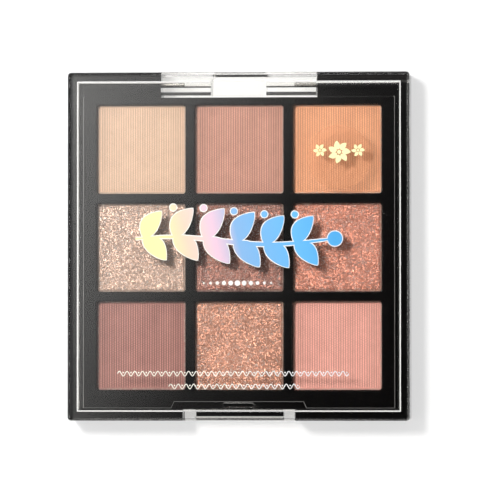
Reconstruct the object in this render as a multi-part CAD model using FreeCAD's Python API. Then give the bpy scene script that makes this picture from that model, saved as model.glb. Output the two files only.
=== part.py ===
import FreeCAD, Part
import os

# Square nine-pan eyeshadow palette, closed, lying on its back. Millimetres.
# Origin: centre of the base's underside. +X right, +Y towards the hinge, +Z up through the lid.

V = FreeCAD.Vector

# ---- Case ----
CASE_WIDTH = 80.0
CASE_DEPTH = 81.4
HALF_WIDTH = CASE_WIDTH / 2
HALF_DEPTH = CASE_DEPTH / 2
LEDGE_Z = 8.0
LID_TOP_Z = 12.0
LID_GAP = 0.1
PLATE_THICKNESS = 1.5
SKIRT_THICKNESS = 2.05
INNER_RADIUS = 0.9
CORNER_RADIUS = 0.9
EDGE_RADIUS = 0.85
SEAM_RADIUS = 0.2
BASE_FLOOR = 1.5
LABEL_RECESS_SIZE = 62.0
LABEL_RECESS_DEPTH = 0.25

# ---- Pans: three by three, one pressed shade in each ----
SHADES = [
    ["cream", "dusty_rose", "apricot"],
    ["champagne", "rose_gold", "rose_copper"],
    ["mauve", "copper", "salmon"],
]
PITCH = 22.95
GRID_CENTRE_Y = -0.2
WELL_SIZE = 20.9
WELL_CORNER = 0.8
WELL_FLOOR_Z = 5.6
WELL_FLOOR_THICKNESS = 0.8
PAN_SIZE = 20.6
PAN_CORNER = 0.65
PAN_HEIGHT = 2.0
PAN_WALL = 0.3
GLUE_THICKNESS = 0.1
GLUE_RADIUS = 6.0
POWDER_BELOW_RIM = 0.15
POWDER_EDGE = 0.12

# ---- Tray: the insert that holds the pans ----
TRAY_TOP_Z = 9.3
FLANGE_HALF_WIDTH = 36.5
FLANGE_REAR_Y = 35.05
FLANGE_FRONT_Y = -37.8
FLANGE_JOG_Y = -36.3
JOG_HALF_WIDTH = 15.8
JOG_SLANT = 0.7
TRAY_EDGE = 0.2
TRAY_HALF_WIDTH = 35.7
TRAY_REAR_Y = 33.95
TRAY_FRONT_Y = -35.5
TRAY_WALL = 1.0
TRAY_CLEARANCE = 0.1
SNAP_LENGTH = 6.0
SNAP_HEIGHT = 1.0
SNAP_PROUD = 0.4
SNAP_Z = 4.0
SNAP_Y = 18.0

# ---- Hinge: clear block on the lid, between two lugs of the base ----
PIN_Y = 37.98
PIN_Z = 4.6
PIN_RADIUS = 0.7
PIN_CLEARANCE = 0.05
PIN_INNER_X = 12.9
PIN_OUTER_X = 23.9
NOTCH_HALF_WIDTH = 18.3
NOTCH_FRONT_Y = 34.9
SIDE_CLEARANCE = 0.15
KNUCKLE_RADIUS = 2.7
REAR_RELIEF_RADIUS = 3.4
BLOCK_RELIEF_HALF_WIDTH = 6.5
BLOCK_RELIEF_REAR_Y = 39.4
BLOCK_RELIEF_ROOF_Z = 9.6
BLOCK_RELIEF_CORNER = 1.0
TROUGH_FRONT_Y = 35.1
TROUGH_REAR_Y = 36.8
TROUGH_DEPTH = 0.4
TROUGH_EDGE = 0.2

# ---- Latch: thumb tab and hook on the lid, slot and window in the base ----
LATCH_HALF_WIDTH = 13.2
LATCH_REAR_Y = -38.4
TAB_BOTTOM_Z = 3.5
TAB_REAR_Y = -38.5
TAB_END_WIDTH = 2.8
TAB_EDGE = 0.35
GRIP_REAR_Y = -39.7
GRIP_BOTTOM_Z = 4.6
GRIP_TOP_Z = 8.4
SLOT_HALF_WIDTH = 3.75
SLOT_FRONT_Y = -37.55
SLOT_REAR_Y = -36.4
SLOT_BOTTOM_Z = 4.6
WINDOW_BOTTOM_Z = 5.7
WINDOW_TOP_Z = 7.0
SHELF_HALF_WIDTH = 10.25
SHELF_FRONT_Y = -39.7
SHELF_TOP_Z = 3.0
SHELF_EDGE = 0.3
HOOK_HALF_WIDTH = 3.5
HOOK_FRONT_Y = -37.45
HOOK_REAR_Y = -36.6
HOOK_BOTTOM_Z = 5.2
HOOK_CORNER = 0.2
HOOK_ROOT_RADIUS = 0.25
NIB_FRONT_Y = -37.8
NIB_TOP_Z = 6.9
NIB_NOSE_Z = 6.5
NIB_ROOT_Z = 5.8

# ---- Locating lugs under the lid's side walls, in pockets of the ledge ----
LUG_X = 38.9
LUG_Y = 28.7
LUG_WIDTH = 1.5
LUG_LENGTH = 5.1
LUG_HEIGHT = 0.4
POCKET_CLEARANCE = 0.3
POCKET_DEPTH = 0.6

# ---- Round shade sticker on top of the lid ----
STICKER_RADIUS = 7.5
STICKER_THICKNESS = 0.08
STICKER_X = 23.6
STICKER_Y = 20.7

BEYOND = 5.0  # how far a cutting tool runs past the face it opens

plate_bottom_z = LID_TOP_Z - PLATE_THICKNESS
skirt_bottom_z = LEDGE_Z + LID_GAP
pan_bottom_z = WELL_FLOOR_Z + GLUE_THICKNESS
pan_rim_z = pan_bottom_z + PAN_HEIGHT


def block(x0, x1, y0, y1, z0, z1):
    """A box between two corners."""
    return Part.makeBox(x1 - x0, y1 - y0, z1 - z0, V(x0, y0, z0))


def wide_block(half_width, y0, y1, z0, z1):
    """A box centred on the palette's middle line."""
    return block(-half_width, half_width, y0, y1, z0, z1)


def rod(x0, x1, y, z, radius):
    """A round bar along X."""
    return Part.makeCylinder(radius, x1 - x0, V(x0, y, z), V(1, 0, 0))


def upright_edges(shape):
    """The straight edges that run along Z."""
    return [e for e in shape.Edges if len(e.Vertexes) == 2
            and e.Vertexes[0].Point.distanceToPoint(e.Vertexes[1].Point) > 1e-6
            and abs(e.Vertexes[0].X - e.Vertexes[1].X) < 1e-6
            and abs(e.Vertexes[0].Y - e.Vertexes[1].Y) < 1e-6]


def edges_at(shape, z):
    """The edges that lie in the plane at height z."""
    return [e for e in shape.Edges if abs(e.BoundBox.ZMin - z) < 1e-6 and abs(e.BoundBox.ZMax - z) < 1e-6]


def rounded(shape, radius):
    """The shape with its upright edges rounded."""
    return shape.makeFillet(radius, upright_edges(shape))


def rounded_square(x, y, size, corner, z0, z1):
    """A square block with rounded corners, centred on (x, y)."""
    half = size / 2
    return rounded(block(x - half, x + half, y - half, y + half, z0, z1), corner)


def prism_along_x(points, half_width):
    """A profile of (y, z) points, carried across the palette's middle."""
    corners = [V(-half_width, y, z) for y, z in points]
    return Part.Face(Part.makePolygon(corners + corners[:1])).extrude(V(2 * half_width, 0, 0))


def slab(points, z0, z1):
    """An outline of (x, y) points, raised from z0 to z1."""
    corners = [V(x, y, z0) for x, y in points]
    return Part.Face(Part.makePolygon(corners + corners[:1])).extrude(V(0, 0, z1 - z0))


def both_sides(make):
    """One piece on the left and one on the right."""
    return [make(-1), make(1)]


def pan_places():
    """Each shade's name with its pan's centre, row by row from the hinge."""
    for row, names in enumerate(SHADES):
        for column, name in enumerate(names):
            yield name, (column - 1) * PITCH, GRID_CENTRE_Y + (1 - row) * PITCH


def four_lugs(clearance, z0, z1):
    """Four blocks under the lid's side walls, grown by the clearance in plan."""
    half_x = LUG_WIDTH / 2 + clearance / 2
    half_y = LUG_LENGTH / 2 + clearance
    return [block(sx * LUG_X - half_x, sx * LUG_X + half_x, sy * LUG_Y - half_y, sy * LUG_Y + half_y, z0, z1)
            for sx in (-1, 1) for sy in (-1, 1)]


def tray_snaps(grow):
    """Four ridges on the tray's side walls, or with grow the slots that take them."""
    def ridge(side, y):
        inner = TRAY_HALF_WIDTH - TRAY_WALL / 2
        outer = TRAY_HALF_WIDTH + SNAP_PROUD + grow
        x0, x1 = sorted((side * inner, side * outer))
        half = SNAP_LENGTH / 2 + grow
        return block(x0, x1, y - half, y + half, SNAP_Z - grow, SNAP_Z + SNAP_HEIGHT + grow)
    return [ridge(side, y) for side in (-1, 1) for y in (-SNAP_Y, SNAP_Y)]


def make_base_shell():
    """The black lower half: tray cavity, hinge notch and lugs, latch notch with its shelf and slot, lug pockets."""
    shell = rounded(wide_block(HALF_WIDTH, -HALF_DEPTH, HALF_DEPTH, 0, LEDGE_Z), CORNER_RADIUS)
    shell = shell.makeFillet(EDGE_RADIUS, edges_at(shell, 0))
    shell = shell.makeFillet(SEAM_RADIUS, edges_at(shell, LEDGE_Z))
    cavity = wide_block(TRAY_HALF_WIDTH + TRAY_CLEARANCE, TRAY_FRONT_Y - TRAY_CLEARANCE,
                        TRAY_REAR_Y + TRAY_CLEARANCE, BASE_FLOOR, LEDGE_Z + BEYOND)
    label = rounded_square(0, 0, LABEL_RECESS_SIZE, 2.0, -BEYOND, LABEL_RECESS_DEPTH)
    hinge_notch = wide_block(NOTCH_HALF_WIDTH, NOTCH_FRONT_Y, HALF_DEPTH + BEYOND, -BEYOND, LEDGE_Z + BEYOND)
    latch_notch = wide_block(LATCH_HALF_WIDTH, -HALF_DEPTH - BEYOND, LATCH_REAR_Y, -BEYOND, LEDGE_Z + BEYOND)
    slot = wide_block(SLOT_HALF_WIDTH, SLOT_FRONT_Y, SLOT_REAR_Y, SLOT_BOTTOM_Z, LEDGE_Z + BEYOND)
    window = wide_block(SLOT_HALF_WIDTH, LATCH_REAR_Y - BEYOND, SLOT_REAR_Y, WINDOW_BOTTOM_Z, WINDOW_TOP_Z)
    trough = wide_block(FLANGE_HALF_WIDTH, TROUGH_FRONT_Y, TROUGH_REAR_Y, LEDGE_Z - TROUGH_DEPTH, LEDGE_Z + BEYOND)
    trough_edge = prism_along_x([(TROUGH_REAR_Y, LEDGE_Z - TROUGH_EDGE), (TROUGH_REAR_Y + TROUGH_EDGE, LEDGE_Z),
                                 (TROUGH_REAR_Y, LEDGE_Z)], FLANGE_HALF_WIDTH)
    # the rear edge turns about the pin, so that the lid's rear wall swings past it
    rear_corner = wide_block(HALF_WIDTH + BEYOND, PIN_Y, HALF_DEPTH + BEYOND, PIN_Z, LEDGE_Z + BEYOND)
    round_rear = rod(-HALF_WIDTH - BEYOND, HALF_WIDTH + BEYOND, PIN_Y, PIN_Z, REAR_RELIEF_RADIUS)
    cuts = [cavity, label, hinge_notch, latch_notch, slot, window, trough, trough_edge, rear_corner.cut(round_rear)]
    cuts += four_lugs(POCKET_CLEARANCE, LEDGE_Z - POCKET_DEPTH, LEDGE_Z + BEYOND)
    cuts += tray_snaps(TRAY_CLEARANCE)
    cuts += both_sides(lambda side: rod(min(0, side * PIN_OUTER_X), max(0, side * PIN_OUTER_X),
                                        PIN_Y, PIN_Z, PIN_RADIUS))
    for tool in cuts:
        shell = shell.cut(tool)
    shelf = wide_block(SHELF_HALF_WIDTH, SHELF_FRONT_Y, LATCH_REAR_Y, 0, SHELF_TOP_Z)
    front = [e for e in edges_at(shelf, SHELF_TOP_Z) if e.BoundBox.YMax < SHELF_FRONT_Y + 1e-6]
    shell = shell.fuse(shelf.makeFillet(SHELF_EDGE, front))
    return shell.removeSplitter()


def make_pan_tray():
    """The black insert: a flanged top with nine wells, standing on a wall and ribs."""
    rear = FLANGE_REAR_Y
    notch_y = NOTCH_FRONT_Y - TRAY_CLEARANCE
    notch_x = NOTCH_HALF_WIDTH + TRAY_CLEARANCE
    jog_top = JOG_HALF_WIDTH - JOG_SLANT
    right = [(jog_top, FLANGE_JOG_Y), (JOG_HALF_WIDTH, FLANGE_FRONT_Y), (FLANGE_HALF_WIDTH, FLANGE_FRONT_Y),
             (FLANGE_HALF_WIDTH, rear), (notch_x, rear), (notch_x, notch_y)]
    left = [(-x, y) for x, y in reversed(right)]
    tray = slab(right + left, LEDGE_Z, TRAY_TOP_Z)
    under_z = WELL_FLOOR_Z - WELL_FLOOR_THICKNESS
    tray = tray.fuse(wide_block(TRAY_HALF_WIDTH, TRAY_FRONT_Y, TRAY_REAR_Y, under_z, LEDGE_Z))
    for name, x, y in pan_places():
        tray = tray.cut(rounded_square(x, y, WELL_SIZE, WELL_CORNER, WELL_FLOOR_Z, TRAY_TOP_Z + BEYOND))
    tray = tray.makeFillet(TRAY_EDGE, edges_at(tray, TRAY_TOP_Z))
    wall = wide_block(TRAY_HALF_WIDTH, TRAY_FRONT_Y, TRAY_REAR_Y, BASE_FLOOR, under_z)
    hollow = wide_block(TRAY_HALF_WIDTH - TRAY_WALL, TRAY_FRONT_Y + TRAY_WALL, TRAY_REAR_Y - TRAY_WALL,
                        BASE_FLOOR, under_z)
    tray = tray.fuse(wall.cut(hollow))
    for side in (-1, 1):
        x = side * PITCH / 2
        y = GRID_CENTRE_Y + side * PITCH / 2
        half = TRAY_WALL / 2
        tray = tray.fuse(block(x - half, x + half, TRAY_FRONT_Y, TRAY_REAR_Y, BASE_FLOOR, under_z))
        tray = tray.fuse(wide_block(TRAY_HALF_WIDTH, y - half, y + half, BASE_FLOOR, under_z))
    for ridge in tray_snaps(0):
        tray = tray.fuse(ridge)
    return tray.removeSplitter()


def make_hinge_block():
    """The lid's hinge block: round about the pins, hollowed in the middle, bored to both ends."""
    half = NOTCH_HALF_WIDTH - SIDE_CLEARANCE
    hinge = wide_block(half, PIN_Y - KNUCKLE_RADIUS, HALF_DEPTH, PIN_Z, plate_bottom_z)
    hinge = hinge.fuse(rod(-half, half, PIN_Y, PIN_Z, KNUCKLE_RADIUS))
    relief = wide_block(BLOCK_RELIEF_HALF_WIDTH, NOTCH_FRONT_Y - BEYOND, BLOCK_RELIEF_REAR_Y,
                        -BEYOND, BLOCK_RELIEF_ROOF_Z)
    relief = rounded(relief, BLOCK_RELIEF_CORNER)
    bore = rod(-half, half, PIN_Y, PIN_Z, PIN_RADIUS + PIN_CLEARANCE)
    return hinge.cut(relief).cut(bore)


def make_latch():
    """The thumb tab with its finger recess, and the hook with its nib."""
    half = LATCH_HALF_WIDTH - SIDE_CLEARANCE
    tab = wide_block(half, -HALF_DEPTH, TAB_REAR_Y, TAB_BOTTOM_Z, plate_bottom_z)
    tab = tab.makeFillet(TAB_EDGE, edges_at(tab, TAB_BOTTOM_Z))
    grip = wide_block(half - TAB_END_WIDTH, -HALF_DEPTH - BEYOND, GRIP_REAR_Y, GRIP_BOTTOM_Z, GRIP_TOP_Z)
    hook = rounded(wide_block(HOOK_HALF_WIDTH, HOOK_FRONT_Y, HOOK_REAR_Y, HOOK_BOTTOM_Z, plate_bottom_z), HOOK_CORNER)
    nib = prism_along_x([(HOOK_FRONT_Y, NIB_TOP_Z), (NIB_FRONT_Y, NIB_TOP_Z),
                         (NIB_FRONT_Y, NIB_NOSE_Z), (HOOK_FRONT_Y, NIB_ROOT_Z)], HOOK_HALF_WIDTH - HOOK_CORNER)
    return tab.cut(grip), hook.fuse(nib)


def make_lid():
    """The clear upper half: top plate, skirt, hinge block, latch tab and hook, locating lugs."""
    lid = rounded(wide_block(HALF_WIDTH, -HALF_DEPTH, HALF_DEPTH, skirt_bottom_z, LID_TOP_Z), CORNER_RADIUS)
    lid = lid.makeFillet(EDGE_RADIUS, edges_at(lid, LID_TOP_Z))
    lid = lid.makeFillet(SEAM_RADIUS, edges_at(lid, skirt_bottom_z))
    inside = wide_block(HALF_WIDTH - SKIRT_THICKNESS, SKIRT_THICKNESS - HALF_DEPTH,
                        HALF_DEPTH - SKIRT_THICKNESS, 0, plate_bottom_z)
    inside = inside.makeFillet(INNER_RADIUS, edges_at(inside, plate_bottom_z))
    lid = lid.cut(inside)
    tab, hook = make_latch()
    for piece in [make_hinge_block(), tab, hook] + four_lugs(0, skirt_bottom_z - LUG_HEIGHT, skirt_bottom_z):
        lid = lid.fuse(piece)
    lid = lid.removeSplitter()
    root = [e for e in edges_at(lid, plate_bottom_z) if abs(e.BoundBox.Center.x) < HOOK_HALF_WIDTH + 1e-6
            and e.BoundBox.XLength < 2 * HOOK_HALF_WIDTH + 1e-6
            and HOOK_FRONT_Y - 1e-6 < e.BoundBox.YMin and e.BoundBox.YMax < HOOK_REAR_Y + 1e-6]
    return lid.makeFillet(HOOK_ROOT_RADIUS, root)


def make_hinge_pin(side):
    """A short steel pin: pressed into a lug of the base, turning in the lid's block."""
    x0, x1 = sorted((side * PIN_INNER_X, side * PIN_OUTER_X))
    pin = rod(x0, x1, PIN_Y, PIN_Z, PIN_RADIUS)
    return pin.makeChamfer(0.12, [e for e in pin.Edges if abs(e.BoundBox.XMax - e.BoundBox.XMin) < 1e-6])


def make_pan(x, y):
    """A drawn tin pan: a square cup with rounded corners."""
    pan = rounded_square(x, y, PAN_SIZE, PAN_CORNER, pan_bottom_z, pan_rim_z)
    inside = rounded_square(x, y, PAN_SIZE - 2 * PAN_WALL, PAN_CORNER - PAN_WALL,
                            pan_bottom_z + PAN_WALL, pan_rim_z + BEYOND)
    return pan.cut(inside)


def make_powder(x, y):
    """Pressed powder that fills its pan to just under the rim, its top edge softened."""
    top = pan_rim_z - POWDER_BELOW_RIM
    cake = rounded_square(x, y, PAN_SIZE - 2 * PAN_WALL, PAN_CORNER - PAN_WALL, pan_bottom_z + PAN_WALL, top)
    return cake.makeFillet(POWDER_EDGE, edges_at(cake, top))


def make_glue_dots():
    """One dot of glue under each pan."""
    return Part.makeCompound([Part.makeCylinder(GLUE_RADIUS, GLUE_THICKNESS, V(x, y, WELL_FLOOR_Z))
                              for name, x, y in pan_places()])


def make_shade_sticker():
    """The clear round sticker on the lid."""
    return Part.makeCylinder(STICKER_RADIUS, STICKER_THICKNESS, V(STICKER_X, STICKER_Y, LID_TOP_Z))


nodes = {
    "base_shell": make_base_shell(),
    "pan_tray": make_pan_tray(),
    "lid": make_lid(),
    "hinge_pin_left": make_hinge_pin(-1),
    "hinge_pin_right": make_hinge_pin(1),
    "pan_glue": make_glue_dots(),
    "shade_sticker": make_shade_sticker(),
}
for shade, centre_x, centre_y in pan_places():
    nodes["pan_" + shade] = make_pan(centre_x, centre_y)
    nodes["powder_" + shade] = make_powder(centre_x, centre_y)

os.makedirs("parts", exist_ok=True)
for node, shape in nodes.items():
    if not shape.isValid():
        raise ValueError(node + " is not a valid solid")
    shape.exportStep("parts/" + node + ".step")
    print(node, len(shape.Solids), "solid(s)", round(shape.Volume, 1), "mm3")
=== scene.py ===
import math

import bpy
import numpy as np
from mathutils import Euler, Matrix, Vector


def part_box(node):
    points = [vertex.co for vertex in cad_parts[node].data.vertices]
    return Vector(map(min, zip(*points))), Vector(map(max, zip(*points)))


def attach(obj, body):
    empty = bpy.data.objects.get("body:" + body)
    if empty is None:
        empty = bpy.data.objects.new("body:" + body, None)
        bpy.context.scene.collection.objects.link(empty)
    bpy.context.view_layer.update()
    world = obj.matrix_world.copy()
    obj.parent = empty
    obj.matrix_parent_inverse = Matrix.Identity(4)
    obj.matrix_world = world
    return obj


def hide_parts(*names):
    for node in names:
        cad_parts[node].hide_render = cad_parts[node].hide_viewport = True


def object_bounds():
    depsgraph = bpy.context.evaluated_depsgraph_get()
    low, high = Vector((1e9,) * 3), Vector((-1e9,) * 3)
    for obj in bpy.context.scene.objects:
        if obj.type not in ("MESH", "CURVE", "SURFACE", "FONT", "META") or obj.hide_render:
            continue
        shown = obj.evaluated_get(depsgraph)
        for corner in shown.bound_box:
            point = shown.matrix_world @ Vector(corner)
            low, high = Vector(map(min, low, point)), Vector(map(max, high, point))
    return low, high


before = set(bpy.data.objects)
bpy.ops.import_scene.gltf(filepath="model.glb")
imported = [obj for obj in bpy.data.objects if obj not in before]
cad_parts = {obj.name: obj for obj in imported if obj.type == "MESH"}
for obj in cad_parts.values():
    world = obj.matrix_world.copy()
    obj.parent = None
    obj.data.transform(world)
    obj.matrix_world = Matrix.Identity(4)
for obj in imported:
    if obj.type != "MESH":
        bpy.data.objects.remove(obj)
cad_low, cad_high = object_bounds()

MM = 0.001

# ---- Shades: row by row from the hinge, linear colours ----
MATTE_SHADES = {
    "cream": (0.678, 0.470, 0.342),
    "dusty_rose": (0.552, 0.289, 0.2235),
    "apricot": (0.794, 0.380, 0.219),
    "mauve": (0.384, 0.189, 0.164),
    "salmon": (0.768, 0.379, 0.319),
}
# Painted shade: each matte shade's colour factor in the hollows of its cloth marks; the crests get a
# matching painted highlight
HOLLOW_SHADE = {
    "cream": 0.77,
    "dusty_rose": 0.66,
    "apricot": 0.72,
    "mauve": 0.56,
    "salmon": 0.68,
}
SHIMMER_SHADES = {
    "champagne": (0.318, 0.213, 0.164),
    "rose_gold": (0.204, 0.087, 0.064),
    "rose_copper": (0.352, 0.134, 0.089),
    "copper": (0.327, 0.151, 0.100),
}

PAN_TIN = (0.40, 0.34, 0.28)

# ---- Plastics: the tray's rounded rim gets a painted pale highlight beyond this x to either side, and this y at the front ----
PLASTIC_IOR = 1.5
# Grey of the painted pale highlight on the tray's rounded rim
RIM_HIGHLIGHT_GREY = (0.20, 0.20, 0.20, 1)
PAINTED_HIGHLIGHT_BOUNDS = (36.1 * MM, -36 * MM)

# ---- Press texture of the powders; edge shares are where grid lines lie across a cake's edge ----
RIB_PITCH = 0.555 * MM
MATTE_RIB_HEIGHT = 0.05 * MM
SHIMMER_RIB_HEIGHT = 0.018 * MM
MATTE_CROSS = 0.42
SHIMMER_CROSS = 0.4
RIB_SEED = 31
RIB_TABLE = 64
WEAKEST_RIB = 0.72
RIB_STEPS = 8
THREAD_STEPS = 6
SHIMMER_STEP = 0.1 * MM
CAKE_EDGE = 0.16 * MM
CAKE_CORNER = 0.36 * MM
EDGE_SHARES = (0.0, 0.12, 0.32, 0.6, 1.0)
RELIEF_FADE = 3 * CAKE_EDGE

# ---- Unevenness of the powders: the hills' height and width, and their seed ----
MATTE_HILLS = (0.003 * MM, 3 * MM, 5)
FLAKE_HILLS = (0.0015 * MM, 0.2 * MM, 11)
SHIMMER_HILLS = (0.012 * MM, 1.6 * MM, 12)
LATTICE = 128
LATTICE_START = 60

# ---- Mica flakes of the shimmer powders ----
FLAKE_SIZE = 0.17 * MM
FLAKE_LEAN = 0.62

# ---- Print on the lid: heights of the ink ----
INK_OUTLINE = 0.02 * MM
INK_COLOUR = 0.05 * MM
INK_LAP = 0.0006 * MM
SEAT = 0.004 * MM

# ---- The sprig: leaves are (degrees, length, width), feet are (first, last, count) on the stem ----
SPRIG_LEFT = -24.0 * MM
SPRIG_RIGHT = 22.6 * MM
SPRIG_Y = 1.3 * MM
STEM_WAVE = 0.9 * MM
STEM_THIN = 0.16
STEM_SWELL = 0.30
LEAF_FEET = (0.04, 0.80, 6)
UPPER_LEAF = (56, 8.6 * MM, 4.7 * MM)
LOWER_LEAF = (-44, 8.4 * MM, 4.6 * MM)
BUD_FEET = (0.125, 0.735, 5)
BUD_OFFSET = (3.0 * MM, 6.9 * MM)
BUD_RADIUS = 0.75 * MM
TIP_RADIUS = 1.7 * MM
PALE_MARGIN = 0.22 * MM
INK_DRIFT = 5.0

# ---- Beads are (first x, last x, y, radius, count), waves are (first x, last x, y) ----
BEADS = (-8.0 * MM, 7.7 * MM, -8.6 * MM, 0.52 * MM, 11)
WAVES = {
    "long": (-28.2 * MM, 25.8 * MM, -29.7 * MM),
    "short": (-16.2 * MM, 14.4 * MM, -32.7 * MM),
}
WAVE_HEIGHT = 0.55 * MM
WAVE_PITCH = 1.8 * MM
WAVE_STROKE = 0.2 * MM
WAVE_STEPS = 14

# ---- The sticker's flowers: x and y from its middle, radius, petals ----
FLOWERS = [
    (0.0, 1.2 * MM, 2.7 * MM, 7),
    (-4.5 * MM, 1.6 * MM, 1.6 * MM, 6),
    (4.4 * MM, 1.6 * MM, 1.6 * MM, 6),
]
PETAL_START = 0.22
PETAL_LENGTH = 0.78
PETAL_WIDTH = 0.5
FLOWER_EYE = 0.17

# ---- Studio, in metres; strips are (low corner, high corner, strength) ----
FLOOR_HALF = 3
FLOOR_GREY = 0.36
FLOOR_NEAR = 0.3
FLOOR_FAR = 1.0
FLOOR_GLOW_NEAR = 0.6
FLOOR_GLOW_FAR = 0.95
SOFTBOX_LOW = (-0.50, -0.30)
SOFTBOX_HIGH = (0.10, 0.50)
SOFTBOX_HEIGHT = 0.60
SOFTBOX_SLANT = -0.5
SOFTBOX_STRENGTH = 2.0
SOFTBOX_LEVELS = [(-0.40, 0.10), (-0.22, 0.40), (-0.15, 0.95), (-0.115, 0.60), (-0.085, 0.34),
                  (-0.06, 0.16), (-0.04, 0.055), (-0.0165, 0.022), (0.0, 0.008), (0.03, 0.004)]
STRIP_HEIGHT = 0.30
STRIPS = {
    "strip_left": ((-0.46, -0.35), (-0.38, 0.20), 9.0),
    "strip_right": ((0.38, -0.20), (0.43, 0.35), 5.0),
    "strip_rear": ((-0.15, 0.40), (0.35, 0.45), 5.0),
    "strip_front": ((-0.35, -0.44), (0.15, -0.40), 1.2),
}
KEY_PLACE = (-0.195, 0.172, 0.52)
KEY_WIDTH = 0.13
KEY_WATTS = 3.6
SKY_LEVELS = [(0.0, 1.0), (0.06, 0.95), (0.18, 0.45), (0.5, 0.26), (0.97, 0.05), (1.0, 0.03)]

# ---- Camera: tilts in degrees about X and Y ----
CAMERA_DISTANCE = 1.2
CAMERA_REACH = 20
FIELD_WIDTH = 111.86 * MM
TILT_X = 1.5
TILT_Y = 4.0
AIM_X = 0.46 * MM
AIM_Y = 1.43 * MM


# ================= Mesh making =================

def grid_faces(rows, columns):
    """Quads of a rows by columns grid whose points are numbered row by row, as one array.
    Each quad joins point (r, c) to its neighbours (r, c+1), (r+1, c+1) and (r+1, c)."""
    r, c = np.meshgrid(np.arange(rows - 1), np.arange(columns - 1), indexing="ij")
    first = (r * columns + c).ravel()
    return np.stack([first, first + 1, first + columns + 1, first + columns], axis=1)


def ring_faces(upper, lower):
    """Quads of the wall between two closed rings of the same length, the upper one counter-clockwise."""
    return np.stack([upper, lower, np.roll(lower, -1), np.roll(upper, -1)], axis=1)


def make_piece(name, points, quads, caps, material, body):
    """A mesh object from whole arrays of points and quads, and many-sided caps."""
    mesh = bpy.data.meshes.new(name)
    faces = np.asarray(quads).tolist() + [np.asarray(cap).tolist() for cap in caps]
    mesh.from_pydata(np.asarray(points, float).tolist(), [], faces)
    mesh.polygons.foreach_set("use_smooth", np.ones(len(mesh.polygons), bool))
    mesh.materials.append(material)
    mesh.update()
    piece = bpy.data.objects.new(name, mesh)
    bpy.context.scene.collection.objects.link(piece)
    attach(piece, body)
    return piece


def joined(parts):
    """Several (points, quads, caps) solids as one, each part's numbers moved past those before it."""
    points, quads, caps, count = [], [], [], 0
    for part_points, part_quads, part_caps in parts:
        points.append(part_points)
        quads.append(part_quads + count)
        caps += [cap + count for cap in part_caps]
        count += len(part_points)
    return np.concatenate(points), np.concatenate(quads), caps


# ================= Pressed powders =================

def side_lines(half, step):
    """Grid lines across a cake: even steps in the middle, and closer ones over each rounded edge."""
    edge = np.array(EDGE_SHARES) * CAKE_EDGE
    inner = half - CAKE_EDGE
    middle = np.linspace(-inner, inner, int(round(2 * inner / step)) + 1)
    return np.concatenate([-half + edge[:-1], middle, half - edge[:-1][::-1]])


def rounded_square(x, y, half, corner):
    """Squeezes a square grid into a square with round corners: inside each corner's little square,
    a point keeps its larger distance from the arc's centre as its radius."""
    ax = np.maximum(np.abs(x) - (half - corner), 0)
    ay = np.maximum(np.abs(y) - (half - corner), 0)
    radius = np.hypot(ax, ay)
    squeeze = np.where((ax > 0) & (ay > 0), np.maximum(ax, ay) / np.maximum(radius, 1e-12), 1.0)
    new_x = np.where(ax > 0, np.sign(x) * (half - corner + ax * squeeze), x)
    new_y = np.where(ay > 0, np.sign(y) * (half - corner + ay * squeeze), y)
    inside = corner - np.hypot(ax * squeeze, ay * squeeze)
    depth = np.where((ax > 0) | (ay > 0), inside, half - np.maximum(np.abs(x), np.abs(y)))
    return new_x, new_y, np.maximum(depth, 0)


def hills(x, y, height, cell, seed):
    """Smooth random hills up to height: seeded values on a lattice of square cells, blended between
    the four corners of a cell by half a cosine wave along each axis."""
    values = np.random.default_rng(seed).uniform(-1, 1, (LATTICE, LATTICE))
    u = x / cell + LATTICE_START
    v = y / cell + LATTICE_START
    i = np.floor(u).astype(int)
    j = np.floor(v).astype(int)
    s = 0.5 - 0.5 * np.cos(np.pi * (u - i))
    t = 0.5 - 0.5 * np.cos(np.pi * (v - j))
    left, right = i % LATTICE, (i + 1) % LATTICE
    near, far = j % LATTICE, (j + 1) % LATTICE
    front = values[left, near] * (1 - s) + values[right, near] * s
    back = values[left, far] * (1 - s) + values[right, far] * s
    return height * (front * (1 - t) + back * t)


def cloth_press(x, y, height, cross):
    """The mark of the pressing cloth: round ribs along Y, one each rib pitch, and across them
    shallower threads that change sides from one rib to the next. cross is their share of the height.
    Each rib has its own strength, from a seeded table."""
    number = np.floor(x / RIB_PITCH + 0.5).astype(int)
    strengths = np.random.default_rng(RIB_SEED).uniform(WEAKEST_RIB, 1.0, RIB_TABLE)
    strength = strengths[number % RIB_TABLE]
    rib = strength * (0.5 + 0.5 * np.cos(2 * np.pi * x / RIB_PITCH))
    thread = 0.5 + 0.5 * np.cos(2 * np.pi * y / RIB_PITCH + np.pi * (number % 2))
    return height * rib * (1 - cross + cross * thread) - height / 2


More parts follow.
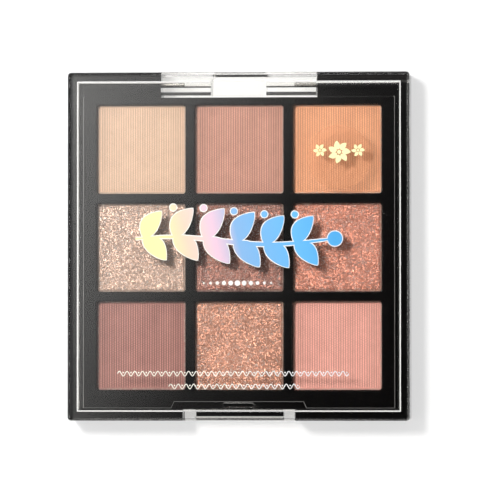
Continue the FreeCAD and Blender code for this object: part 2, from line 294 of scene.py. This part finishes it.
def pressed_cake(shade, step_x, step_y, relief, material):
    """A cake of pressed powder in its pan. Its top is a fine grid squeezed into a rounded square,
    lowered along a quarter circle at the edge and raised by relief(x, y) inside it. A wall and a
    floor close it. Each point keeps its level, from 0 in a matte cake's hollows to 1 on its crests."""
    low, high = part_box("powder_" + shade)
    half = (high.x - low.x) / 2
    centre_x, centre_y = (low.x + high.x) / 2, (low.y + high.y) / 2
    lines_x, lines_y = side_lines(half, step_x), side_lines(half, step_y)
    grid_y, grid_x = np.meshgrid(lines_y, lines_x, indexing="ij")
    x, y, depth = rounded_square(grid_x, grid_y, half, CAKE_CORNER)
    short = np.clip(CAKE_EDGE - depth, 0, CAKE_EDGE)
    drop = CAKE_EDGE - np.sqrt(CAKE_EDGE ** 2 - short ** 2)
    raised = relief(x, y) * np.clip(depth / RELIEF_FADE, 0, 1)
    z = high.z - drop + raised
    rows, columns = x.shape
    top = np.stack([x + centre_x, y + centre_y, z], axis=-1).reshape(-1, 3)
    number = np.arange(rows * columns).reshape(rows, columns)
    rim = np.concatenate([number[0, :-1], number[:-1, -1], number[-1, :0:-1], number[:0:-1, 0]])
    floor_ring = top[rim].copy()
    floor_ring[:, 2] = low.z
    ring = rows * columns + np.arange(len(rim))
    points = np.concatenate([top, floor_ring])
    quads = np.concatenate([grid_faces(rows, columns), ring_faces(rim, ring)])
    piece = make_piece("cake_" + shade, points, quads, [ring[::-1]], material, "base")
    # level drives the painted shade in the hollows and the painted highlight on the crests
    level = np.concatenate([raised.ravel() / MATTE_RIB_HEIGHT + 0.5, np.zeros(len(ring))])
    levels = piece.data.attributes.new("level", "FLOAT", "POINT")
    levels.data.foreach_set("value", level.astype(np.float32))
    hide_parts("powder_" + shade)


# ================= Materials =================

def new_material(name):
    """A node material: itself, its node tree and its main shader."""
    material = bpy.data.materials.new(name)
    material.use_nodes = True
    tree = material.node_tree
    return material, tree, tree.nodes["Principled BSDF"]


def feed(tree, value, socket):
    """Links another node's output to a socket, or sets the socket's own value."""
    if isinstance(value, bpy.types.NodeSocket):
        tree.links.new(value, socket)
    else:
        socket.default_value = value


def add_node(tree, kind, settings=None, **inputs):
    """A node with its properties set, and its sockets fed by name."""
    node = tree.nodes.new(kind)
    for key, value in (settings or {}).items():
        setattr(node, key, value)
    for key, value in inputs.items():
        feed(tree, value, node.inputs[key.replace("_", " ")])
    return node


def math_node(tree, operation, *values):
    """The result of a Math node on up to three values."""
    node = add_node(tree, "ShaderNodeMath", {"operation": operation})
    for value, socket in zip(values, node.inputs):
        feed(tree, value, socket)
    return node.outputs["Value"]


def vector_node(tree, operation, *vectors):
    """A Vector Math node on up to two vectors."""
    node = add_node(tree, "ShaderNodeVectorMath", {"operation": operation})
    for value, socket in zip(vectors, node.inputs):
        feed(tree, value, socket)
    return node


def scaled(tree, vector, scale):
    """A vector or a colour times one number."""
    node = vector_node(tree, "SCALE", vector)
    feed(tree, scale, node.inputs["Scale"])
    return node.outputs["Vector"]


def blended(tree, factor, first, second, blend="MIX"):
    """Two colours mixed. A Mix node's colour sockets are its inputs 6 and 7 and its output 2."""
    node = add_node(tree, "ShaderNodeMix", {"data_type": "RGBA", "blend_type": blend}, Factor=factor)
    feed(tree, first, node.inputs[6])
    feed(tree, second, node.inputs[7])
    return node.outputs[2]


def place(tree, stretch=(1, 1, 1)):
    """The point on the object, in metres, stretched along each axis."""
    at = add_node(tree, "ShaderNodeTexCoord").outputs["Object"]
    return add_node(tree, "ShaderNodeMapping", Vector=at, Scale=stretch).outputs["Vector"]


def axes(tree, vector):
    """The three parts of a vector, as sockets named X, Y and Z."""
    return add_node(tree, "ShaderNodeSeparateXYZ", Vector=vector).outputs


def noise(tree, size, detail=2.0, vector=None):
    """Noise whose blobs are about size across, in metres."""
    at = vector or place(tree)
    return add_node(tree, "ShaderNodeTexNoise", Vector=at, Scale=1 / size, Detail=detail).outputs["Fac"]


def ramp(tree, factor, stops):
    """A colour for each position along a value from 0 to 1."""
    node = add_node(tree, "ShaderNodeValToRGB", Fac=factor)
    elements = node.color_ramp.elements
    elements[0].position = stops[0][0]
    elements[1].position = stops[-1][0]
    for stop in stops[1:-1]:
        elements.new(stop[0])
    for element, (position, colour) in zip(elements, stops):
        element.position = position
        element.color = (*colour, 1)
    return node.outputs["Color"]


def greys(stops):
    """A ramp's stops from (position, grey level) pairs."""
    return [(position, (level, level, level)) for position, level in stops]


def span(tree, value, low, high, start=0.0, stop=1.0):
    """A value between start and stop, moved into the range from low to high."""
    node = add_node(tree, "ShaderNodeMapRange", Value=value,
                    From_Min=start, From_Max=stop, To_Min=low, To_Max=high)
    return node.outputs["Result"]


def bump(tree, shader, height, depth):
    """Raises the shader's surface by height times depth, in metres."""
    node = add_node(tree, "ShaderNodeBump", Height=height, Distance=depth, Strength=1.0)
    tree.links.new(node.outputs["Normal"], shader.inputs["Normal"])


def shaded(colour, factor):
    """A colour made lighter or darker."""
    return tuple(min(1.0, part * factor) for part in colour)


def painted_highlight_edges(tree, beyond_x, beyond_y):
    """Where a painted pale highlight goes: 1 on the rounded edges that lie beyond x to either side, or
    beyond y; 0 elsewhere.
    A rounded edge's faces are neither upright nor level, so the upward part of their normals is neither 0
    nor 1."""
    normal = add_node(tree, "ShaderNodeNewGeometry").outputs["Normal"]
    upward = axes(tree, normal)["Z"]
    rounded = ramp(tree, upward, greys([(0.15, 0), (0.30, 1), (0.90, 1), (0.97, 0)]))
    at = axes(tree, place(tree))
    outside = math_node(tree, "GREATER_THAN", math_node(tree, "ABSOLUTE", at["X"]), beyond_x)
    outward = math_node(tree, "MULTIPLY", at["Y"], math.copysign(1, beyond_y))
    past = math_node(tree, "GREATER_THAN", outward, abs(beyond_y))
    return math_node(tree, "MULTIPLY", rounded, math_node(tree, "MAXIMUM", outside, past))


def moulded_plastic(name, colour, smooth, rough, edges=None):
    """Injection-moulded plastic: near-even colour, gloss that drifts, faint flow ripple and fine dust.
    edges says where its rounded edges get a painted pale highlight."""
    material, tree, shader = new_material(name)
    cloud = noise(tree, 9 * MM, 3.0)
    dust = noise(tree, 0.12 * MM, 1.0)
    dust_and_highlight = ramp(tree, dust, [(0.0, colour), (0.74, colour), (0.80, shaded(colour, 5.0))])
    # Painted pale highlight on the rounded edges that edges picks out, laid over the dust flecks
    if edges:
        dust_and_highlight = blended(tree, painted_highlight_edges(tree, *edges), dust_and_highlight, RIM_HIGHLIGHT_GREY)
    tree.links.new(dust_and_highlight, shader.inputs["Base Color"])
    tree.links.new(span(tree, cloud, smooth, rough), shader.inputs["Roughness"])
    shader.inputs["IOR"].default_value = PLASTIC_IOR
    bump(tree, shader, noise(tree, 6 * MM, 1.0), 0.0015 * MM)
    return material


def clear_plastic(name, tint, roughness, shadow):
    """Clear moulded plastic: refracts, and lets lamps through to what lies under it."""
    material, tree, shader = new_material(name)
    faint = ramp(tree, noise(tree, 14 * MM, 2.0), [(0.3, tint), (0.7, shaded(tint, 0.985))])
    tree.links.new(faint, shader.inputs["Base Color"])
    shader.inputs["Roughness"].default_value = roughness
    shader.inputs["IOR"].default_value = PLASTIC_IOR
    shader.inputs["Transmission Weight"].default_value = 1.0
    bump(tree, shader, noise(tree, 12 * MM, 1.0), 0.004 * MM)
    rays = add_node(tree, "ShaderNodeLightPath").outputs
    either = math_node(tree, "MAXIMUM", rays["Is Shadow Ray"], rays["Is Diffuse Ray"])
    through = add_node(tree, "ShaderNodeBsdfTransparent", Color=(*shadow, 1))
    mix = add_node(tree, "ShaderNodeMixShader", Fac=either)
    tree.links.new(shader.outputs["BSDF"], mix.inputs[1])
    tree.links.new(through.outputs["BSDF"], mix.inputs[2])
    tree.links.new(mix.outputs["Shader"], tree.nodes["Material Output"].inputs["Surface"])
    return material


def thin_film(name, colour, alpha):
    """A clear film, too thin to bend light: it veils what lies under it a little, with a soft sheen."""
    material, tree, shader = new_material(name)
    cloud = noise(tree, 3 * MM, 3.0)
    tint = ramp(tree, cloud, [(0.3, shaded(colour, 0.9)), (0.7, colour)])
    tree.links.new(tint, shader.inputs["Base Color"])
    tree.links.new(span(tree, cloud, 0.10, 0.25), shader.inputs["Roughness"])
    shader.inputs["Alpha"].default_value = alpha
    bump(tree, shader, noise(tree, 1.2 * MM, 1.0), 0.004 * MM)
    return material


def drawn_metal(name, colour, smooth, rough, grain):
    """Sheet or wire metal with fine drawing lines; grain is the stretch of the lines along each axis."""
    material, tree, shader = new_material(name)
    lines = noise(tree, 0.05 * MM, 2.0, place(tree, grain))
    tone = ramp(tree, lines, [(0.3, shaded(colour, 0.85)), (0.7, colour)])
    tree.links.new(tone, shader.inputs["Base Color"])
    tree.links.new(span(tree, lines, smooth, rough), shader.inputs["Roughness"])
    shader.inputs["Metallic"].default_value = 1.0
    bump(tree, shader, lines, 0.001 * MM)
    return material


def painted_relief_shade(tree, colour, hollow, crest):
    """A powder's colour with painted light: painted shade darkens it in the hollows of the cloth marks, and
    a painted highlight lightens it on the crests, scaled between hollow and crest by each point's level."""
    level = add_node(tree, "ShaderNodeAttribute", {"attribute_name": "level"}).outputs["Fac"]
    return scaled(tree, colour, span(tree, level, hollow, crest))


def dusty_tin(shade, colour):
    """The pan's tin, dulled along its rim by a film of the powder that was pressed into it."""
    material, tree, shader = new_material("pan_" + shade)
    patches = noise(tree, 0.6 * MM, 3.0)
    film = tuple(0.72 * part + 0.02 for part in colour)
    tone = ramp(tree, patches, [(0.45, film), (0.80, PAN_TIN)])
    bare = ramp(tree, patches, greys([(0.45, 0), (0.80, 0.4)]))
    tree.links.new(tone, shader.inputs["Base Color"])
    tree.links.new(bare, shader.inputs["Metallic"])
    tree.links.new(span(tree, patches, 0.75, 0.5), shader.inputs["Roughness"])
    bump(tree, shader, noise(tree, 0.08 * MM, 1.0), 0.003 * MM)
    return material


def matte_powder(shade, colour):
    """Matte pressed powder: fine grains, a little unevenly mixed pigment, painted shade in the hollows of
    the cloth marks, painted highlight on their crests, and no gloss.
    """
    material, tree, shader = new_material("powder_" + shade)
    grains = noise(tree, 0.07 * MM, 2.0)
    blend = noise(tree, 1.2 * MM, 4.0)
    tone = ramp(tree, blend, [(0.3, shaded(colour, 0.96)), (0.7, shaded(colour, 1.04))])
    speck = ramp(tree, grains, [(0.25, (0.80, 0.78, 0.77)), (0.5, (1, 1, 1)), (0.8, (1, 1, 1))])
    # Painted shade in the hollows and painted highlight on the crests
    hollow = HOLLOW_SHADE[shade]
    crest = 2.5 - 1.5 * hollow
    mixed = painted_relief_shade(tree, blended(tree, 1.0, tone, speck, "MULTIPLY"), hollow, crest)
    tree.links.new(mixed, shader.inputs["Base Color"])
    shader.inputs["Roughness"].default_value = 0.92
    shader.inputs["Specular IOR Level"].default_value = 0.2
    bump(tree, shader, grains, 0.012 * MM)
    return material


def shimmer_powder(shade, colour):
    """Shimmer powder: mica flakes in a soft coloured binder. Each flake is a small flat mirror that
    leans its own way: its random colour less a half, times the lean, is added to the surface's normal."""
    material, tree, shader = new_material("powder_" + shade)
    cells = add_node(tree, "ShaderNodeTexVoronoi", Vector=place(tree), Scale=1 / FLAKE_SIZE)
    flakes = cells.outputs["Color"]
    parts = add_node(tree, "ShaderNodeSeparateColor", Color=flakes).outputs
    pale = tuple(0.30 * part + 0.56 for part in colour)
    tones = [(0.0, shaded(colour, 0.62)), (0.45, colour), (0.8, shaded(colour, 1.12)), (1.0, pale)]
    # Painted shade in the hollows and painted highlight on the crests of the flakes' colour
    tone = painted_relief_shade(tree, ramp(tree, parts["Red"], tones), 0.75, 1.25)
    bright = ramp(tree, parts["Green"], greys([(0.48, 0.15), (0.60, 0.85)]))
    tree.links.new(tone, shader.inputs["Base Color"])
    tree.links.new(bright, shader.inputs["Metallic"])
    tree.links.new(span(tree, parts["Blue"], 0.28, 0.55), shader.inputs["Roughness"])
    middle = vector_node(tree, "SUBTRACT", flakes, (0.5, 0.5, 0.5)).outputs["Vector"]
    lean = scaled(tree, middle, FLAKE_LEAN)
    surface = add_node(tree, "ShaderNodeNewGeometry").outputs["Normal"]
    tilted = vector_node(tree, "ADD", surface, lean).outputs["Vector"]
    unit = vector_node(tree, "NORMALIZE", tilted).outputs["Vector"]
    tree.links.new(unit, shader.inputs["Normal"])
    return material


def print_ink(name, stops):
    """Printed ink whose colour runs along the lid's width, a little aslant; stops are (x in mm, colour)."""
    material, tree, shader = new_material(name)
    at = axes(tree, place(tree))
    left, right = stops[0][0] * MM, stops[-1][0] * MM
    along = span(tree, at["X"], 0.0, 1.0, left, right)
    drift = math_node(tree, "MULTIPLY_ADD", at["Y"], INK_DRIFT, along)
    width = right - left
    colours = [((x * MM - left) / width, colour) for x, colour in stops]
    tree.links.new(ramp(tree, drift, colours), shader.inputs["Base Color"])
    tree.links.new(span(tree, noise(tree, 0.4 * MM, 2.0), 0.3, 0.45), shader.inputs["Roughness"])
    bump(tree, shader, noise(tree, 0.25 * MM, 1.0), 0.003 * MM)
    return material


def paint(node, material):
    """Gives a CAD piece its material."""
    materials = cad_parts[node].data.materials
    materials.clear()
    materials.append(material)


black_shell = moulded_plastic("black_shell", (0.0022, 0.0020, 0.0021), 0.05, 0.10)
# The tray's outer rounded rim gets a painted pale highlight
black_tray = moulded_plastic("black_tray", (0.0018, 0.0016, 0.0017), 0.06, 0.12, PAINTED_HIGHLIGHT_BOUNDS)
clear_lid = clear_plastic("clear_lid", (0.965, 0.955, 0.93), 0.0, (0.94, 0.935, 0.925))
sticker_film = thin_film("sticker_film", (0.73, 0.31, 0.15), 0.14)
pin_steel = drawn_metal("pin_steel", (0.62, 0.60, 0.57), 0.14, 0.30, (0.08, 1, 1))
glue_dot = moulded_plastic("glue_dot", (0.55, 0.50, 0.36), 0.35, 0.55)

paint("base_shell", black_shell)
paint("pan_tray", black_tray)
paint("lid", clear_lid)
paint("hinge_pin_left", pin_steel)
paint("hinge_pin_right", pin_steel)
paint("pan_glue", glue_dot)
for shade, colour in {**MATTE_SHADES, **SHIMMER_SHADES}.items():
    paint("pan_" + shade, dusty_tin(shade, colour))


# ================= The nine powders =================

def matte_relief(x, y):
    """Cloth marks over a slight unevenness."""
    return cloth_press(x, y, MATTE_RIB_HEIGHT, MATTE_CROSS) + hills(x, y, *MATTE_HILLS)


def shimmer_relief(x, y):
    """Fainter cloth marks, roughened by flakes that stand out of the surface."""
    rough = hills(x, y, *FLAKE_HILLS) + hills(x, y, *SHIMMER_HILLS)
    return cloth_press(x, y, SHIMMER_RIB_HEIGHT, SHIMMER_CROSS) + rough


for shade, colour in MATTE_SHADES.items():
    steps = (RIB_PITCH / RIB_STEPS, RIB_PITCH / THREAD_STEPS)
    pressed_cake(shade, *steps, matte_relief, matte_powder(shade, colour))
for shade, colour in SHIMMER_SHADES.items():
    pressed_cake(shade, SHIMMER_STEP, SHIMMER_STEP, shimmer_relief, shimmer_powder(shade, colour))


# ================= Print on the lid: a leafy sprig and beaded lines =================

def flat_shape(outline, low, high):
    """A thin solid of ink over a closed outline, counter-clockwise: a top, a wall and an underside."""
    count = len(outline)
    top = np.column_stack([outline, np.full(count, high)])
    under = np.column_stack([outline, np.full(count, low)])
    upper, lower = np.arange(count), count + np.arange(count)
    return np.concatenate([top, under]), ring_faces(upper, lower), [upper, lower[::-1]]


def leaf_outline(base, angle, length, width, grow=0.0, steps=18):
    """A leaf. With t from 0 to 1 along it, half its width is multiplied by the sine of pi times t to
    the 0.85, to the power 0.8, so that it is fullest a little before its middle. A curl of the sine of
    pi t, 0.08 of the length high, bends both of its sides the same way. grow widens it all round."""
    t = np.linspace(0, 1, steps)
    along = -grow + t * (length + 2 * grow)
    side = (width / 2 + grow) * np.sin(np.pi * t ** 0.85) ** 0.8
    curl = 0.08 * length * np.sin(np.pi * t)
    ax = np.concatenate([along, along[-2:0:-1]])
    ay = np.concatenate([curl - side, (curl + side)[-2:0:-1]])
    c, s = math.cos(angle), math.sin(angle)
    return np.column_stack([base[0] + ax * c - ay * s, base[1] + ax * s + ay * c])


def round_outline(centre, radius, steps=28):
    """A circle: its centre plus the radius times the cosine and sine of each turn."""
    turn = np.linspace(0, 2 * np.pi, steps, endpoint=False)
    return np.column_stack([centre[0] + radius * np.cos(turn), centre[1] + radius * np.sin(turn)])


def ribbon_outline(x, y, half):
    """A stroke along a curve: the curve moved by half its width to each side, square to its direction."""
    dx, dy = np.gradient(x), np.gradient(y)
    length = np.hypot(dx, dy)
    nx, ny = -dy / length * half, dx / length * half
    right = np.column_stack([x - nx, y - ny])
    left = np.column_stack([x + nx, y + ny])
    return np.concatenate([right, left[::-1]])


def stem_at(t):
    """The sprig's stem: level, with one slow wave."""
    x = SPRIG_LEFT + t * (SPRIG_RIGHT - SPRIG_LEFT)
    return x, SPRIG_Y + STEM_WAVE * np.sin(2 * np.pi * t + 0.5)


sticker_low, sticker_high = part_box("shade_sticker")
lid_top = sticker_low.z + SEAT


def sprig_shapes(grow):
    """Outlines of the whole sprig: stem, paired leaves and round buds, all grown by the same margin.
    The stem swells by a sine towards its middle, and the middle leaves are the largest."""
    t = np.linspace(0.0, 1.0, 60)
    x, y = stem_at(t)
    stem_half = (STEM_THIN + STEM_SWELL * np.sin(np.pi * np.clip(t, 0.03, 0.97))) * MM + grow
    shapes = [ribbon_outline(x, y, stem_half)]
    for pair, at in enumerate(np.linspace(*LEAF_FEET)):
        foot = stem_at(at)
        size = 1.0 - 0.05 * abs(pair - 2.5)
        for angle, length, width in (UPPER_LEAF, LOWER_LEAF):
            shapes.append(leaf_outline(foot, math.radians(angle), length * size, width * size, grow))
    shapes.append(round_outline(stem_at(1.0), TIP_RADIUS + grow))
    for at in np.linspace(*BUD_FEET):
        foot = stem_at(at)
        bud = (foot[0] + BUD_OFFSET[0], foot[1] + BUD_OFFSET[1])
        shapes.append(round_outline(bud, BUD_RADIUS + grow))
    return shapes


INK_STOPS = [(-24.3, (0.74, 0.70, 0.27)), (-19.0, (0.74, 0.655, 0.28)), (-15.0, (0.77, 0.575, 0.295)),
             (-11.5, (0.73, 0.48, 0.36)), (-8.0, (0.73, 0.47, 0.435)), (-5.5, (0.67, 0.425, 0.515)),
             (-2.4, (0.44, 0.39, 0.515)), (0.4, (0.155, 0.335, 0.585)), (6.0, (0.115, 0.34, 0.62)),
             (14.0, (0.075, 0.355, 0.68)), (22.9, (0.035, 0.30, 0.62))]
pastel_ink = print_ink("pastel_ink", INK_STOPS)
pale_ink = print_ink("pale_ink", [(-24.3, (0.72, 0.70, 0.60)), (22.9, (0.68, 0.69, 0.74))])
sticker_ink = print_ink("sticker_ink", [(10.0, (0.76, 0.74, 0.34)), (35.0, (0.78, 0.74, 0.40))])


def printed(name, outlines, high, material, low=lid_top):
    """Ink shapes as one piece on the lid. Each stands a hair higher than the one before it, so that
    no two tops lie in one plane where they overlap."""
    heights = high + np.arange(len(outlines)) * INK_LAP
    points, quads, caps = joined([flat_shape(shape, low, top) for shape, top in zip(outlines, heights)])
    piece = make_piece(name, points, quads, caps, material, "lid")
    piece.data.polygons.foreach_set("use_smooth", np.zeros(len(piece.data.polygons), bool))
    return piece


printed("print_outline", sprig_shapes(PALE_MARGIN), lid_top + INK_OUTLINE, pale_ink)
printed("print_sprig", sprig_shapes(0.0), lid_top + INK_COLOUR, pastel_ink)


def wave_line(x0, x1, y):
    """A fine wavy line, y plus the height times a sine of x, with a dot in the hollow of each wave."""
    x = np.linspace(x0, x1, int((x1 - x0) / WAVE_PITCH * WAVE_STEPS) + 1)
    turn = 2 * np.pi * (x - x0) / WAVE_PITCH
    shapes = [ribbon_outline(x, y + WAVE_HEIGHT * np.sin(turn), WAVE_STROKE / 2)]
    for dot in np.arange(x0 + 0.75 * WAVE_PITCH, x1, WAVE_PITCH):
        shapes.append(round_outline((dot, y + 0.45 * WAVE_HEIGHT), WAVE_STROKE * 0.9, 12))
    return shapes


def bead_line(x0, x1, y, radius, count):
    """A row of beads that grow towards its middle."""
    return [round_outline((x, y), radius * (1.25 - 0.75 * abs(2 * i / (count - 1) - 1)), 16)
            for i, x in enumerate(np.linspace(x0, x1, count))]


printed("print_beads", bead_line(*BEADS), lid_top + INK_OUTLINE, pale_ink)
for length, wave in WAVES.items():
    printed("print_wave_" + length, wave_line(*wave), lid_top + INK_OUTLINE, pale_ink)


def rosette(x, y, radius, petals):
    """A flower of equal petals round a dot."""
    start = PETAL_START * radius
    shapes = []
    for turn in np.arange(petals) * 2 * np.pi / petals:
        foot = (x + start * math.cos(turn), y + start * math.sin(turn))
        shapes.append(leaf_outline(foot, turn, PETAL_LENGTH * radius, PETAL_WIDTH * radius, steps=12))
    return shapes + [round_outline((x, y), FLOWER_EYE * radius, 16)]


sticker_x = (sticker_low.x + sticker_high.x) / 2
sticker_y = (sticker_low.y + sticker_high.y) / 2
sticker_disc = round_outline((sticker_x, sticker_y), (sticker_high.x - sticker_low.x) / 2, 96)
film_top = sticker_high.z - 2 * INK_OUTLINE
sticker = printed("sticker_disc", [sticker_disc], film_top, sticker_film)
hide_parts("shade_sticker")
flowers = []
for x, y, radius, petals in FLOWERS:
    flowers += rosette(sticker_x + x, sticker_y + y, radius, petals)
printed("sticker_flowers", flowers, film_top + INK_OUTLINE, sticker_ink, low=film_top + SEAT)


# ================= Floor, lights and camera =================

def flat_sheet(name, corner_low, corner_high, z, face_down=False):
    """One level rectangle of the studio."""
    (x0, y0), (x1, y1) = corner_low, corner_high
    mesh = bpy.data.meshes.new(name)
    order = [3, 2, 1, 0] if face_down else [0, 1, 2, 3]
    mesh.from_pydata([(x0, y0, z), (x1, y0, z), (x1, y1, z), (x0, y1, z)], [], [order])
    sheet = bpy.data.objects.new(name, mesh)
    bpy.context.scene.collection.objects.link(sheet)
    return sheet


def glowing(name, strength):
    """A material that only gives off light: itself, its node tree and its emission node."""
    material, tree = new_material(name)[:2]
    glow = add_node(tree, "ShaderNodeEmission", Strength=strength)
    tree.links.new(glow.outputs["Emission"], tree.nodes["Material Output"].inputs["Surface"])
    return material, tree, glow


def floor_paint():
    """Plain pale paper, luminous like a lit table, and more so far out, where the lamps don't reach."""
    material, tree, shader = new_material("studio_floor")
    shader.inputs["Base Color"].default_value = (FLOOR_GREY, FLOOR_GREY, FLOOR_GREY, 1)
    shader.inputs["Roughness"].default_value = 0.6
    shader.inputs["Emission Color"].default_value = (1, 1, 1, 1)
    reach = vector_node(tree, "LENGTH", place(tree)).outputs["Value"]
    glow = span(tree, reach, FLOOR_GLOW_NEAR, FLOOR_GLOW_FAR, FLOOR_NEAR, FLOOR_FAR)
    tree.links.new(glow, shader.inputs["Emission Strength"])
    return material


def softbox_glow():
    """The softbox's cloth: bright at its left and rear, darker step by step to its right front edge."""
    material, tree, glow = glowing("softbox_glow", SOFTBOX_STRENGTH)
    at = axes(tree, place(tree))
    slant = math_node(tree, "MULTIPLY_ADD", at["Y"], SOFTBOX_SLANT, at["X"])
    first, last = SOFTBOX_LEVELS[0][0], SOFTBOX_LEVELS[-1][0]
    along = span(tree, slant, 0.0, 1.0, first, last)
    levels = greys([((x - first) / (last - first), level) for x, level in SOFTBOX_LEVELS])
    feed(tree, ramp(tree, along, levels), glow.inputs["Color"])
    return material


def lamp_sheet(name, corner_low, corner_high, height, material):
    """A level lamp above the floor that the camera doesn't see, only its reflections."""
    lamp = flat_sheet(name, corner_low, corner_high, height, face_down=True)
    lamp.data.materials.append(material)
    lamp.visible_camera = False


floor = flat_sheet("studio_floor", (-FLOOR_HALF, -FLOOR_HALF), (FLOOR_HALF, FLOOR_HALF), 0.0)
floor.data.materials.append(floor_paint())
lamp_sheet("softbox", SOFTBOX_LOW, SOFTBOX_HIGH, SOFTBOX_HEIGHT, softbox_glow())
for name, (corner_low, corner_high, strength) in STRIPS.items():
    lamp_sheet(name, corner_low, corner_high, STRIP_HEIGHT, glowing(name, strength)[0])

key = bpy.data.lights.new("key_light", "AREA")
key.shape = "DISK"
key.size = KEY_WIDTH
key.energy = KEY_WATTS
key_object = bpy.data.objects.new("key_light", key)
key_object.location = KEY_PLACE
key_object.rotation_euler = Vector(KEY_PLACE).to_track_quat("Z", "Y").to_euler()
bpy.context.scene.collection.objects.link(key_object)

world = bpy.data.worlds.new("studio_air")
bpy.context.scene.world = world
world.use_nodes = True
sky = world.node_tree
direction = add_node(sky, "ShaderNodeTexCoord").outputs["Generated"]
air = ramp(sky, axes(sky, direction)["Z"], greys(SKY_LEVELS))
sky.links.new(air, sky.nodes["Background"].inputs["Color"])

camera_data = bpy.data.cameras.new("camera")
camera_data.lens = camera_data.sensor_width * CAMERA_DISTANCE / FIELD_WIDTH
camera_data.clip_end = CAMERA_REACH
camera = bpy.data.objects.new("camera", camera_data)
tilt = Euler((math.radians(TILT_X), math.radians(TILT_Y), 0))
target = Vector((AIM_X, AIM_Y, cad_high.z))
camera.rotation_euler = tilt
camera.location = target + tilt.to_matrix() @ Vector((0, 0, CAMERA_DISTANCE))
bpy.context.scene.collection.objects.link(camera)
bpy.context.scene.camera = camera
bpy.context.scene.view_settings.view_transform = "Standard"
